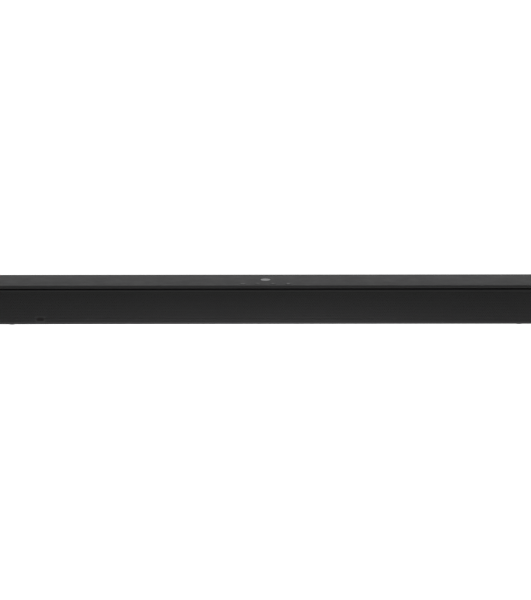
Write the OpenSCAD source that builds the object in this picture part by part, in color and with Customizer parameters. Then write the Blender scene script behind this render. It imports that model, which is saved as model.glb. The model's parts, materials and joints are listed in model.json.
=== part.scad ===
// Soundbar: a slim two-way stereo bar with a crowned steel grille, four push buttons
// on top and a recessed connector bay behind.
// Frame: X runs along the bar, the front faces -Y, +Z is up and the feet stand on z = 0.

/* [Bar] */
// Overall length of the bar
bar_l = 950; // [940:10:1100]
// Overall depth, front to back
bar_d = 86; // [86:1:100]
// Height of the body above its feet
body_h = 62.5; // [62.5:0.5:70]
// Height of the feet below the body
foot_h = 2.5; // [1.5:0.5:4]
// Diameter of each foot
foot_d = 13; // [10:0.5:16]
// Thickness of the moulded walls
wall = 2.5; // [2.25:0.25:2.5]
// Length of each end cap
cap_l = 14; // [12:1:18]
// Radius of the top cover's two long edges
shoulder_r = 4; // [3:0.5:4.5]

/* [Grille] */
// Thickness of the grille's steel sheet
sheet_t = 1; // [0.6:0.1:1.2]
// Radius of the gentle crown across the grille's height
crown_r = 240; // [200:10:400]
// Radius of the grille's rolled top and bottom edges
roll_r = 2.5; // [2:0.25:3.5]
// Height of the dark gap between the grille and the top cover
shadow_gap = 1.9; // [1:0.1:2]
// Diameter of the pegs that hold the grille in the baffle
peg_d = 3; // [2.5:0.25:3.5]
// Width of the oval indicator window
lens_w = 12; // [7:0.5:12]
// Height of the oval indicator window
lens_h = 6; // [4:0.5:6.5]

/* [Drivers] */
// Distance of the outer woofers from the middle of the bar
outer_woofer_x = 395; // [390:1:400]
// Distance of the inner woofers from the middle of the bar
inner_woofer_x = 315; // [310:1:320]
// Distance of the tweeters from the middle of the bar
tweeter_x = 245; // [240:1:250]
// Outer radius of a woofer's flange
woofer_r = 27; // [26.5:0.5:27.5]
// Outer radius of a tweeter's faceplate
tweeter_r = 19; // [18:0.5:20]

/* [Controls] */
// Diameter of a button
button_d = 11; // [9:0.5:13]
// Clearance round a button in its hole
button_gap = 0.2; // [0.15:0.05:0.3]
// Distance between neighbouring buttons
button_pitch = 23.4; // [20:0.2:28]
// How far a button stands above the cover
button_proud = 0.3; // [0.1:0.1:0.6]
// How far a button travels down
button_travel = 0.8; // [0.4:0.1:0.8]
// Distance of the buttons behind the bar's front
button_setback = 14.5; // [14.5:0.5:18]
// Diameter of the round blank badge
badge_d = 15; // [10:0.5:18]
// Distance of the badge behind the bar's front
badge_setback = 44; // [43:1:60]

/* [Rear] */
// Width of the connector bay
bay_w = 120; // [110:2:140]
// Width of the power inlet bay
inlet_bay_w = 40; // [30:2:44]
// Height of both bays
bay_h = 24; // [22:1:26]
// Depth of both bays
bay_depth = 12; // [10:1:14]
// Distance between the two wall-mount inserts
insert_spacing = 700; // [680:10:720]
// Bore radius of an insert, for an M4 screw
insert_bore_r = 2; // [1.5:0.5:2.5]

/* [Hidden] */
// --- the bar's own planes ---
front_y = -bar_d / 2;
rear_y = bar_d / 2;
floor_z = foot_h;
top_z = foot_h + body_h;
inside_z = floor_z + wall;
under_z = top_z - wall;
span = bar_l - 2 * cap_l;
side_x = span / 2;
back_wall_y = rear_y - wall;
floor_front_y = front_y + 5.5;
lip_z = top_z - shoulder_r - 0.1;
rear_seam_z = top_z - 11;
toe_seam_z = floor_z + 6.5;
seam_gap = 0.3;
frame_floor_t = 1.5;
frame_z = inside_z + frame_floor_t;
cap_round = 3;
toe_r = 3.5;
slip = 0.3;
cut = 1;

// --- grille section ---
grille_low_z = floor_z + 0.5;
grille_top_z = lip_z - shadow_gap;
grille_mid = [front_y + crown_r, (grille_low_z + grille_top_z) / 2];
crown_half = asin(((grille_top_z - grille_low_z) / 2 - roll_r) / (crown_r - roll_r));
peg_xs = [-440, -276, -200, -100, 0, 100, 200, 276, 440];
peg_zs = [grille_low_z + 9, grille_top_z - 11];
lens_x = -350;
lens_z = grille_low_z + 8.7;

// --- baffle and drivers ---
baffle_t = 3;
baffle_y = front_y + 9.5;
driver_z = (inside_z + under_z) / 2;
woofer_cut_r = 22.8;
tweeter_cut_r = 15.3;
WOOFERS = [
    ["left_outer_woofer", -outer_woofer_x],
    ["left_inner_woofer", -inner_woofer_x],
    ["right_inner_woofer", inner_woofer_x],
    ["right_outer_woofer", outer_woofer_x],
];
TWEETERS = [["left_tweeter", -tweeter_x], ["right_tweeter", tweeter_x]];
WOOFER_PARTS = ["basket", "motor", "suspension", "cone"];
TWEETER_PARTS = ["faceplate", "motor", "dome"];
woofer_screw_r = 24.8;
tweeter_screw_r = 17.1;
gasket_t = 0.5;

// --- controls ---
button_y = front_y + button_setback;
badge_y = front_y + badge_setback;
BUTTONS = [
    ["power_button", -1.5 * button_pitch],
    ["volume_down_button", -0.5 * button_pitch],
    ["volume_up_button", 0.5 * button_pitch],
    ["source_button", 1.5 * button_pitch],
];
badge_recess = 0.8;
button_flange_t = 1.2;
button_board_top = under_z - 7.9;
board_t = 1.6;
switch_h = 3.5;
plunger_h = 0.8;

// --- electronics bay ---
rib_x = 202;
board_z = 20;
board_top = board_z + board_t;
bay_z = 15;
bay_floor_y = rear_y - bay_depth;
inlet_x = -130;
main_board_x = [-84, 84];
power_board_x = [-192, -96];
board_y = [-24, bay_floor_y - wall - 0.2];
standoff_y = [-18, 14];
standoff_inset = 6;
hdmi_x = -40;
usb_x = -14;
aux_x = 10;
aux_z = board_top + 4;
optical_x = 34;
optical_z = [board_top + 0.9, board_top + 9.3];
mouth_y = bay_floor_y + 0.4;
inlet_z = board_top + 6.3;
shutter_axis = [bay_floor_y - 0.7, optical_z[1] - 0.8];
vent_xs = [for (i = [0:9]) 104 + 6.5 * i];
rear_screw_xs = [-430, -215, -78, 78, 215, 430];
rear_screw_z = 47;
rear_boss_y = back_wall_y - 2.2;
pillar_xs = [-440, -280, -190, 190, 280, 440];
pillar_y = 33;
pillar_top_z = 40;
cap_screw_y = 20;
cap_screw_zs = [18, 46];
lead_r = 0.9;
lead_ys = [18.6, 21.2, 23.8];
lead_z = 8;
foot_x = 396;
foot_y = 23.5;

// --- screws: pilot and clearance holes for the two thread sizes ---
screw_r = 1.3;
pilot_r = 1.35;
clear_r = 1.6;
head_r = 2.7;
small_screw_r = 0.95;
small_pilot_r = 1.0;
small_head_r = 2.0;

$fn = 48;

// ---------- shared shapes ----------

function arc(centre, r, from, to, steps) =
    [for (i = [0:steps])
        let (a = from + (to - from) * i / steps)
        [centre[0] + r * cos(a), centre[1] + r * sin(a)]];

function reversed(path) = [for (i = [len(path) - 1:-1:0]) path[i]];

// Extrudes a (Y, Z) section along the bar, centred on the middle
module along_bar(length) {
    rotate([90, 0, 90]) linear_extrude(height = length, center = true) children();
}

// Box from two corners, each given as [low, high] along X, Y and Z
module box(x, y, z) {
    translate([x[0], y[0], z[0]]) cube([x[1] - x[0], y[1] - y[0], z[1] - z[0]]);
}

// Rod along +Y from a point on its axis
module rod_y(x, y, z, r, length) {
    translate([x, y, z]) rotate([-90, 0, 0]) cylinder(r = r, h = length);
}

// Stadium-shaped prism along +Y
module oval_y(x, y, z, w, h, length) {
    for (side = [-1, 1]) rod_y(x + side * (w - h) / 2, y, z, h / 2, length);
    box([x - (w - h) / 2, x + (w - h) / 2], [y, y + length], [z - h / 2, z + h / 2]);
}

// Puts a driver, drawn with its axis along Z, on the baffle facing the front
module on_baffle(x) {
    translate([x, baffle_y, driver_z]) rotate([90, 0, 0]) children();
}

// Repeats a child round a driver's bolt circle
module bolt_circle(count, r) {
    for (i = [0:count - 1]) rotate([0, 0, 45 + 360 * i / count]) translate([r, 0, 0]) children();
}

module at_pillars() {
    for (x = pillar_xs) translate([x, pillar_y, 0]) children();
}

module at_standoffs(board_x) {
    for (x = [board_x[0] + standoff_inset, board_x[1] - standoff_inset], y = standoff_y)
        translate([x, y, 0]) children();
}

module at_feet() {
    for (x = [-foot_x, foot_x], y = [-foot_y, foot_y]) translate([x, y, 0]) children();
}

module at_button_posts() {
    for (x = [-50, 50], y = [-4, 8]) translate([x, button_y + y, 0]) children();
}

// ---------- casing ----------

// Floor with a rounded heel that turns up behind
module bottom_panel_outline() {
    heel_y = rear_y - toe_r;
    difference() {
        union() {
            translate([floor_front_y, floor_z]) square([heel_y - floor_front_y, wall]);
            translate([heel_y - 1, floor_z + toe_r]) square([toe_r + 1, toe_seam_z - floor_z - toe_r]);
            translate([heel_y, floor_z + toe_r]) circle(r = toe_r);
        }
        translate([heel_y - toe_r, inside_z])
            square([back_wall_y - heel_y + toe_r, toe_seam_z]);
    }
}

module bottom_panel() {
    color([0.085, 0.085, 0.09]) difference() {
        along_bar(span) bottom_panel_outline();
        at_pillars() translate([0, 0, floor_z - cut]) cylinder(r = head_r + 0.5, h = wall + 2 * cut);
        at_feet() translate([0, 0, floor_z - cut]) cylinder(r = 2.05, h = wall + 2 * cut);
    }
}

// Upright wall across the bar that stays clear of the cover's rounded inner corner
module cross_wall(x, front) {
    corner = 1.7;
    back = back_wall_y - 0.05;
    translate([x, 0, 0]) along_bar(wall) polygon([
        [front, inside_z], [back, inside_z], [back, under_z - corner],
        [back - corner, under_z], [front, under_z],
    ]);
}

// Post on a web that a screw of the rear panel goes into
module rear_post(x) {
    web_y = [rear_boss_y - 9.8, rear_boss_y];
    box([x - 1, x + 1], web_y, [inside_z, rear_screw_z]);
    rod_y(x, web_y[0], rear_screw_z, 4, web_y[1] - web_y[0]);
}

// Chassis: a thin floor that carries the chamber walls, screw pillars and board posts
module inner_frame() {
    color([0.07, 0.07, 0.075]) difference() {
        union() {
            box([-side_x, side_x], [baffle_y + baffle_t, back_wall_y - 0.05], [inside_z, frame_z]);
            for (side = [-1, 1]) {
                cross_wall(side * (side_x - wall / 2), baffle_y - 2);
                cross_wall(side * rib_x, baffle_y + baffle_t);
            }
            at_pillars() translate([0, 0, inside_z]) cylinder(r = 4, h = pillar_top_z - inside_z);
            for (board_x = [main_board_x, power_board_x])
                at_standoffs(board_x) translate([0, 0, inside_z]) cylinder(r = 3, h = board_z - inside_z);
            for (x = rear_screw_xs) rear_post(x);
        }
        at_pillars() {
            translate([0, 0, floor_z - cut]) cylinder(r = head_r + 0.5, h = 27 + cut);
            cylinder(r = clear_r, h = top_z);
        }
        for (board_x = [main_board_x, power_board_x])
            at_standoffs(board_x) translate([0, 0, board_z - 10]) cylinder(r = small_pilot_r, h = 11);
        for (x = rear_screw_xs) rod_y(x, rear_boss_y - 9, rear_screw_z, pilot_r, 9 + cut);
        at_feet() translate([0, 0, inside_z - cut]) cylinder(r = 2.5, h = frame_floor_t + 2 * cut);
        for (side = [-1, 1], z = cap_screw_zs)
            translate([side * side_x, cap_screw_y, z]) rotate([0, 90, 0])
                cylinder(r = clear_r, h = 4 * wall, center = true);
        for (side = [-1, 1])
            box([side * rib_x - 3, side * rib_x + 3], [15, 27], [frame_z, frame_z + 5]);
    }
}

// Walls round a bay that is sunk into the back
module bay_walls(x, width) {
    box([x - width / 2 - wall, x + width / 2 + wall], [bay_floor_y - wall, rear_y - 1],
        [bay_z - wall, bay_z + bay_h + wall]);
}

module bay_hollow(x, width) {
    box([x - width / 2, x + width / 2], [bay_floor_y, rear_y + cut], [bay_z, bay_z + bay_h]);
}

module insert_boss(r, from, to) {
    for (side = [-1, 1]) rod_y(side * insert_spacing / 2, from, driver_z, r, to - from);
}

module rear_panel() {
    color([0.085, 0.085, 0.09]) difference() {
        union() {
            box([-side_x, side_x], [back_wall_y, rear_y], [toe_seam_z + seam_gap, rear_seam_z - seam_gap]);
            bay_walls(0, bay_w);
            bay_walls(inlet_x, inlet_bay_w);
            insert_boss(6, bay_floor_y + 1, back_wall_y + cut);
            for (x = rear_screw_xs) rod_y(x, rear_boss_y, rear_screw_z, 4.6, back_wall_y - rear_boss_y + cut);
        }
        bay_hollow(0, bay_w);
        bay_hollow(inlet_x, inlet_bay_w);
        socket_windows();
        for (x = vent_xs) oval_slot(x);
        insert_boss(3.5, rear_y - 9, rear_y + cut);
        for (x = rear_screw_xs) {
            rod_y(x, rear_boss_y - cut, rear_screw_z, clear_r, 8);
            rod_y(x, rear_y - 2.7, rear_screw_z, head_r + 0.4, 4);
        }
    }
}

// Upright slot with round ends, through the back wall
module oval_slot(x) {
    slot_w = 2;
    slot_z = [20, 36];
    box([x - slot_w / 2, x + slot_w / 2], [back_wall_y - cut, rear_y + cut], slot_z);
    for (z = slot_z) rod_y(x, back_wall_y - cut, z, slot_w / 2, wall + 2 * cut);
}

// Windows in the bays' floors that the sockets look out of
module socket_windows() {
    y = [bay_floor_y - wall - cut, bay_floor_y + cut];
    box([hdmi_x - 7.8, hdmi_x + 7.8], y, [board_top - 0.2, board_top + 6.4]);
    box([usb_x - 6.9, usb_x + 6.9], y, [board_top - 0.2, board_top + 6.1]);
    box([optical_x - 5.2, optical_x + 5.2], y, [board_top - 0.2, board_top + 10.4]);
    rod_y(aux_x, y[0], aux_z, 4.2, y[1] - y[0]);
    box([inlet_x - 10.7, inlet_x + 10.7], y, [board_top - 0.2, board_top + 12.8]);
}

module cover_outline(inset) {
    r = shoulder_r - inset;
    translate([front_y + shoulder_r, rear_seam_z - cut])
        square([bar_d - 2 * shoulder_r, top_z - inset - rear_seam_z + cut]);
    translate([front_y + inset, rear_seam_z - cut])
        square([bar_d - 2 * inset, top_z - shoulder_r - rear_seam_z + cut]);
    for (y = [front_y + shoulder_r, rear_y - shoulder_r])
        translate([y, top_z - shoulder_r]) circle(r = r);
}

module top_cover() {
    color([0.12, 0.12, 0.125]) difference() {
        union() {
            along_bar(span) difference() {
                cover_outline(0);
                cover_outline(wall);
                translate([front_y - cut, 0]) square([bar_d / 2, lip_z]);
                translate([front_y - cut, 0]) square([bar_d + 2 * cut, rear_seam_z]);
            }
            at_pillars() translate([0, 0, pillar_top_z]) cylinder(r = 3.5, h = under_z - pillar_top_z + cut);
            at_button_posts() translate([0, 0, button_board_top])
                cylinder(r = 2.5, h = under_z - button_board_top + cut);
        }
        for (b = BUTTONS)
            translate([b[1], button_y, under_z - cut])
                cylinder(r = button_d / 2 + button_gap, h = wall + 2 * cut);
        translate([0, badge_y, top_z - badge_recess])
            cylinder(r = badge_d / 2 + 0.05, h = badge_recess + cut);
        at_pillars() translate([0, 0, pillar_top_z - cut]) cylinder(r = pilot_r, h = 14 + cut);
        at_button_posts() translate([0, 0, button_board_top - cut]) cylinder(r = small_pilot_r, h = 6 + cut);
    }
}

// The hull of ever smaller outlines rounds the cap's outer edge
module cap_outside() {
    corners = [
        [front_y + shoulder_r, top_z - shoulder_r, shoulder_r],
        [rear_y - shoulder_r, top_z - shoulder_r, shoulder_r],
        [front_y + toe_r, floor_z + toe_r, toe_r],
        [rear_y - toe_r, floor_z + toe_r, toe_r],
    ];
    slice_t = 0.01;
    round_x = side_x + cap_l - cap_round;
    hull() {
        for (c = corners) translate([side_x, c[0], c[1]]) rotate([0, 90, 0])
            cylinder(r = c[2], h = round_x - side_x, $fn = 32);
        for (a = [22.5:22.5:90], c = corners)
            translate([round_x + cap_round * sin(a) - slice_t, c[0], c[1]]) rotate([0, 90, 0])
                cylinder(r = c[2] - cap_round * (1 - cos(a)), h = slice_t, $fn = 32);
    }
}

module end_cap() {
    color([0.085, 0.085, 0.09]) difference() {
        union() {
            difference() {
                cap_outside();
                box([side_x - cut, side_x + cap_l - cap_round], [front_y + 3, rear_y - 3],
                    [floor_z + 3, top_z - 3]);
            }
            for (z = cap_screw_zs)
                translate([side_x, cap_screw_y, z]) rotate([0, 90, 0])
                    cylinder(r = 4, h = cap_l - cap_round + cut);
        }
        for (z = cap_screw_zs)
            translate([side_x - cut, cap_screw_y, z]) rotate([0, 90, 0]) cylinder(r = pilot_r, h = 10 + cut);
    }
}

module left_end_cap() {
    mirror([1, 0, 0]) end_cap();
}

module right_end_cap() {
    end_cap();
}

module rubber_feet() {
    color([0.03, 0.03, 0.03]) at_feet() rotate_extrude() polygon([
        [0, 0], [foot_d / 2 - 0.6, 0], [foot_d / 2, 0.6], [foot_d / 2, floor_z],
        [2, floor_z], [2, frame_z - 0.2], [0, frame_z - 0.2],
    ]);
}

// ---------- front ----------

function crown_path(inset) =
    arc(grille_mid, crown_r - inset, 180 - crown_half, 180 + crown_half, 16);

// Centre of the rolled edge: side is 1 at the top and -1 at the bottom
function roll_centre(side) = [
    grille_mid[0] - (crown_r - roll_r) * cos(crown_half),
    grille_mid[1] + side * (crown_r - roll_r) * sin(crown_half),
];

function grille_path(inset) = concat(
    [[baffle_y - 2.5, grille_top_z - inset]],
    arc(roll_centre(1), roll_r - inset, 90, 180 - crown_half, 6),
    crown_path(inset),
    arc(roll_centre(-1), roll_r - inset, 180 + crown_half, 270, 6),
    [[floor_front_y - 0.5, grille_low_z + inset]]
);

module at_pegs() {
    for (x = peg_xs, z = peg_zs) translate([x, 0, z]) children();
}

module front_grille() {
    color([0.045, 0.045, 0.05]) difference() {
        union() {
            along_bar(span - 2 * slip)
                polygon(concat(grille_path(0), reversed(grille_path(sheet_t))));
            at_pegs() rod_y(0, front_y + 1.3, 0, peg_d / 2, baffle_y + baffle_t - front_y - 1.6);
        }
        oval_y(lens_x, front_y - cut, lens_z, lens_w + 0.4, lens_h + 0.4, 4);
    }
}

module grille_scrim() {
    near = sheet_t + 0.05;
    far = sheet_t + 0.35;
    color([0.02, 0.02, 0.02]) difference() {
        along_bar(span - 4) polygon(concat(crown_path(near), reversed(crown_path(far))));
        at_pegs() rod_y(0, front_y, 0, peg_d / 2 + 0.2, 5);
        oval_y(lens_x, front_y - cut, lens_z, lens_w + 0.4, lens_h + 0.4, 5);
    }
}

module indicator_lens() {
    color([0.06, 0.02, 0.02]) oval_y(lens_x, front_y + 0.4, lens_z, lens_w, lens_h, 6.4);
}

module indicator_board() {
    color([0.05, 0.2, 0.1]) {
        box([lens_x - 11, lens_x + 11], [baffle_y - board_t, baffle_y], [inside_z + 1, inside_z + 15]);
        box([lens_x - 2.5, lens_x + 2.5], [baffle_y - board_t - 0.9, baffle_y - board_t],
            [lens_z - 2, lens_z + 2]);
    }
}

module front_baffle() {
    color([0.07, 0.07, 0.075]) difference() {
        box([-side_x + wall, side_x - wall], [baffle_y, baffle_y + baffle_t], [inside_z, under_z]);
        for (w = WOOFERS) on_baffle(w[1]) {
            cylinder(r = woofer_cut_r, h = 3 * baffle_t, center = true);
            bolt_circle(4, woofer_screw_r) cylinder(r = pilot_r, h = 3 * baffle_t, center = true);
        }
        for (t = TWEETERS) on_baffle(t[1]) {
            cylinder(r = tweeter_cut_r, h = 3 * baffle_t, center = true);
            bolt_circle(4, tweeter_screw_r) cylinder(r = pilot_r, h = 3 * baffle_t, center = true);
        }
        at_pegs() rod_y(0, baffle_y - cut, 0, peg_d / 2 + 0.1, baffle_t + 2 * cut);
        // notch under the button board
        box([-58, 58], [baffle_y - cut, baffle_y + baffle_t + cut],
            [button_board_top - board_t - 2.6, under_z + cut]);
    }
}

// ---------- woofer: heights are measured forward from the baffle ----------

cone_edge = [17.5, 1.4];
cone_neck = [8.4, -10];
coil_low = -25;
plate_top = -17;
cap_rise = 3;
cap_edge = [9.4, -7.9];
cap_r = (cap_edge[0] * cap_edge[0] + cap_rise * cap_rise) / (2 * cap_rise);

module woofer_basket() {
    color([0.1, 0.1, 0.1]) difference() {
        union() {
            rotate_extrude() polygon([
                [21, gasket_t + 1.5], [woofer_r, gasket_t + 1.5], [woofer_r, gasket_t],
                [22.5, gasket_t], [16.5, -14], [16.5, plate_top], [10, plate_top],
                [10, plate_top + 1.5], [15, plate_top + 1.5], [15, -14], [21, 0],
            ]);
            box([-4, 4], [-22.5, -16], [plate_top, plate_top + 2.5]);
        }
        bolt_circle(4, woofer_screw_r) cylinder(r = clear_r, h = 10, center = true);
        for (a = [0:90:270])
            rotate([0, 0, a]) box([14, 26], [-6, 6], [-12.5, -3.5]);
    }
}

module woofer_motor() {
    color([0.35, 0.35, 0.36]) rotate_extrude() polygon([
        [2, -31], [16.5, -31], [16.5, -28], [18, -28], [18, -20], [16.5, -20],
        [16.5, plate_top], [9.2, plate_top], [9.2, -20], [10.5, -20], [10.5, -28],
        [7.4, -28], [7.4, plate_top], [2, plate_top],
    ]);
}

// Half-roll surround and corrugated spider
module woofer_suspension() {
    roll = [19.3, gasket_t + 1.5];
    waves = 3;
    spider = [for (i = [0:24]) [8.5 + 5.2 * i / 24, -14.2 + 0.6 * sin(360 * waves * i / 24)]];
    color([0.04, 0.04, 0.04]) {
        rotate_extrude() polygon(concat(
            [[16.4, cone_edge[1] + 0.05]],
            [[17.6, cone_edge[1] + 0.05]],
            arc(roll, 1.6, 180, 0, 12),
            [[22, roll[1]], [22, roll[1] + 0.4]],
            arc(roll, 2.0, 0, 180, 12),
            [[16.4, cone_edge[1] + 0.45]]
        ));
        rotate_extrude() polygon(concat(
            spider,
            [[14.8, -14.2], [14.8, plate_top + 1.5], [13.7, plate_top + 1.5]],
            reversed([for (p = spider) [p[0], p[1] - 0.4]])
        ));
    }
}

module woofer_cone() {
    cap_centre = [0, cap_edge[1] + cap_rise - cap_r];
    cap_half = asin(cap_edge[0] / cap_r);
    color([0.16, 0.16, 0.17]) rotate_extrude() polygon(concat(
        [[8.1, coil_low], [8.8, coil_low], [8.8, -16], [8.4, -16], cone_neck],
        [[cone_edge[0], cone_edge[1] - 1], cone_edge],
        arc(cap_centre, cap_r, 90 - cap_half, 90, 8),
        arc(cap_centre, cap_r - 0.5, 90, 90 - asin(8.1 / (cap_r - 0.5)), 8)
    ));
}

// ---------- tweeter ----------

module tweeter_faceplate() {
    color([0.1, 0.1, 0.1]) difference() {
        rotate_extrude() polygon([
            [11, gasket_t + 0.3], [14.5, gasket_t + 1.8], [tweeter_r, gasket_t + 1.8],
            [tweeter_r, gasket_t], [15, gasket_t], [15, -1.5], [12, -1.5], [12, gasket_t],
            [11, gasket_t],
        ]);
        bolt_circle(4, tweeter_screw_r) cylinder(r = clear_r, h = 10, center = true);
    }
}

module tweeter_motor() {
    color([0.35, 0.35, 0.36]) {
        rotate_extrude() polygon([
            [0, -14], [14.5, -14], [14.5, -1.6], [9.6, -1.6], [9.6, -4], [11, -4],
            [11, -11], [8.3, -11], [8.3, -1.6], [0, -1.6],
        ]);
        box([-3, 3], [-18, -14], [-12, -8]);
    }
}

module tweeter_dome() {
    dome_r = 12;
    centre = [0, 3.6 - dome_r];
    half = asin(9.2 / dome_r);
    color([0.05, 0.05, 0.06]) rotate_extrude() polygon(concat(
        arc(centre, dome_r, 90, 90 - half, 10),
        [[11.2, -0.7], [11.2, -1], [9.2, -1], [9.2, -7], [8.8, -7]],
        arc(centre, dome_r - 0.4, 90 - asin(8.8 / (dome_r - 0.4)), 90, 10)
    ));
}

module driver_gasket(inner_r, outer_r, screw_ring_r) {
    difference() {
        cylinder(r = outer_r, h = gasket_t);
        translate([0, 0, -cut]) cylinder(r = inner_r, h = gasket_t + 2 * cut);
        bolt_circle(4, screw_ring_r) cylinder(r = clear_r, h = 10, center = true);
    }
}

module driver_gaskets() {
    color([0.02, 0.02, 0.02]) {
        for (w = WOOFERS) on_baffle(w[1]) driver_gasket(woofer_cut_r, woofer_r, woofer_screw_r);
        for (t = TWEETERS) on_baffle(t[1]) driver_gasket(tweeter_cut_r, tweeter_r, tweeter_screw_r);
    }
}

// ---------- controls ----------

module button(x) {
    top = top_z + button_proud;
    flange_top = under_z - 0.1;
    stem_low = button_board_top + switch_h + plunger_h + button_travel + 0.05;
    color([0.13, 0.13, 0.135]) translate([x, button_y, 0]) rotate_extrude() polygon([
        [0, stem_low], [2, stem_low], [2, flange_top - button_flange_t],
        [button_d / 2 + 1.25, flange_top - button_flange_t], [button_d / 2 + 1.25, flange_top],
        [button_d / 2, flange_top], [button_d / 2, top - 0.3], [button_d / 2 - 0.3, top], [0, top],
    ]);
}

module badge() {
    low = top_z - badge_recess;
    high = top_z + 0.3;
    color([0.6, 0.6, 0.61]) translate([0, badge_y, 0]) rotate_extrude() polygon([
        [0, low], [badge_d / 2, low], [badge_d / 2, high - 0.3], [badge_d / 2 - 0.3, high], [0, high],
    ]);
}

module button_board() {
    color([0.05, 0.2, 0.1]) difference() {
        box([-56, 56], [button_y - 6.9, button_y + 12], [button_board_top - board_t, button_board_top]);
        at_button_posts() translate([0, 0, button_board_top - 3]) cylinder(r = 1.2, h = 6);
    }
}

module tact_switches() {
    color([0.3, 0.3, 0.3]) for (b = BUTTONS) translate([b[1], button_y, button_board_top]) {
        translate([-3, -3, 0]) cube([6, 6, switch_h]);
        cylinder(r = 1.7, h = switch_h + plunger_h);
    }
}

// ---------- electronics ----------

module circuit_board(board_x) {
    difference() {
        box(board_x, board_y, [board_z, board_top]);
        at_standoffs(board_x) translate([0, 0, board_z - cut]) cylinder(r = 1.2, h = board_t + 2 * cut);
    }
}

module main_board() {
    color([0.05, 0.2, 0.1]) {
        circuit_board(main_board_x);
        // amplifier chip under the heatsink
        box([30, 50], [-16, -4], [board_top, board_top + 2]);
        // signal processor
        box([-8, 8], [-8, 8], [board_top, board_top + 1.4]);
        // lead connectors
        for (side = [-1, 1])
            box(side > 0 ? [76, 84] : [-84, -76], [17, 26], [board_top, board_top + 7]);
    }
}

module heatsink() {
    base = board_top + 2;
    color([0.6, 0.6, 0.62]) {
        box([22, 62], [-22, 2], [base, base + 3]);
        for (i = [0:7]) box([22.4 + 5.4 * i, 23.8 + 5.4 * i], [-22, 2], [base + 3, base + 18]);
    }
}

module wireless_module() {
    color([0.7, 0.7, 0.7]) {
        box([-62, -34], [-20, -2], [board_top, board_top + 0.8]);
        box([-58, -42], [-18, -4], [board_top + 0.8, board_top + 3]);
    }
}

module power_board() {
    color([0.3, 0.22, 0.1]) {
        circuit_board(power_board_x);
        // bridge rectifier and fuse
        box([-120, -104], [-4, 0], [board_top, board_top + 14]);
        translate([-172, 4, board_top + 3]) rotate([0, 90, 0]) cylinder(r = 2.6, h = 20);
        for (x = [-174, -156]) box([x, x + 4], [1, 7], [board_top, board_top + 4]);
    }
}

module power_transformer() {
    color([0.5, 0.42, 0.2]) {
        // ferrite core round a wound bobbin
        difference() {
            box([-178, -146], [-21, -3], [board_top, board_top + 24]);
            box([-173, -151], [-22, -2], [board_top + 5, board_top + 19]);
        }
        box([-172.8, -151.2], [-23, -1], [board_top + 5.2, board_top + 18.8]);
    }
}

module filter_capacitors() {
    color([0.15, 0.15, 0.2]) {
        for (x = [-134, -114]) translate([x, -13, board_top]) cylinder(r = 7.5, h = 22);
        for (x = [4, 14]) translate([x, -18, board_top]) cylinder(r = 4, h = 14);
    }
}

// ---------- sockets ----------

module hdmi_opening(grow) {
    // D-shaped mouth with two sloping lower corners
    w = 14 + grow;
    h = 4.6 + grow;
    polygon([[-w / 2, h], [-w / 2, 1.5], [-w / 2 + 1.8, 0], [w / 2 - 1.8, 0], [w / 2, 1.5], [w / 2, h]]);
}

module hdmi_socket() {
    y = [mouth_y - 12.4, mouth_y];
    color([0.62, 0.62, 0.64]) {
        difference() {
            box([hdmi_x - 7.6, hdmi_x + 7.6], y, [board_top, board_top + 6.2]);
            translate([hdmi_x, y[1] + cut, board_top + 0.8]) rotate([90, 0, 0])
                linear_extrude(height = 10.5) hdmi_opening(0);
        }
        box([hdmi_x - 5.3, hdmi_x + 5.3], [y[0] + 2, y[1] - 1], [board_top + 2.6, board_top + 3.6]);
    }
}

module usb_socket() {
    y = [mouth_y - 14.4, mouth_y];
    color([0.62, 0.62, 0.64]) {
        difference() {
            box([usb_x - 6.7, usb_x + 6.7], y, [board_top, board_top + 5.9]);
            box([usb_x - 6.1, usb_x + 6.1], [y[0] + 2, y[1] + cut], [board_top + 0.6, board_top + 5.3]);
        }
        box([usb_x - 5.6, usb_x + 5.6], [y[0] + 1, y[1] - 1.5], [board_top + 3.1, board_top + 4.9]);
    }
}

module aux_jack() {
    color([0.08, 0.08, 0.08]) difference() {
        union() {
            box([aux_x - 4.5, aux_x + 4.5], [mouth_y - 16, mouth_y - 3.4], [board_top, board_top + 8]);
            rod_y(aux_x, mouth_y - 4, aux_z, 4, 4);
        }
        rod_y(aux_x, mouth_y - 14, aux_z, 1.8, 14 + cut);
    }
}

module optical_socket() {
    hollow_x = [optical_x - 4.1, optical_x + 4.1];
    color([0.1, 0.1, 0.1]) difference() {
        box([optical_x - 5, optical_x + 5], [mouth_y - 14.4, mouth_y], [board_top, board_top + 10]);
        box(hollow_x, [bay_floor_y - 10.5, bay_floor_y + cut], optical_z);
        translate([optical_x - 4.7, shutter_axis[0], shutter_axis[1]]) rotate([0, 90, 0])
            cylinder(r = 0.55, h = 9.4);
    }
}

// Flap that a plug pushes inward; its stub pins turn in the socket's cheeks
module optical_shutter() {
    color([0.16, 0.16, 0.16]) {
        translate([optical_x - 3.9, shutter_axis[0], shutter_axis[1]]) rotate([0, 90, 0])
            cylinder(r = 0.6, h = 7.8);
        translate([optical_x - 4.6, shutter_axis[0], shutter_axis[1]]) rotate([0, 90, 0])
            cylinder(r = 0.5, h = 9.2);
        box([optical_x - 3.8, optical_x + 3.8], [shutter_axis[0] - 0.4, shutter_axis[0] + 0.4],
            [optical_z[0] + 0.3, shutter_axis[1]]);
    }
}

// Figure-of-eight inlet
module power_inlet() {
    color([0.06, 0.06, 0.06]) difference() {
        box([inlet_x - 10.5, inlet_x + 10.5], [mouth_y - 18, mouth_y], [board_top, board_top + 12.6]);
        oval_y(inlet_x, mouth_y - 12, inlet_z, 16.4, 8.8, 12 + cut);
        at_inlet_pins() rod_y(0, mouth_y - 18 - cut, 0, 1.25, 8);
    }
}

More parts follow.
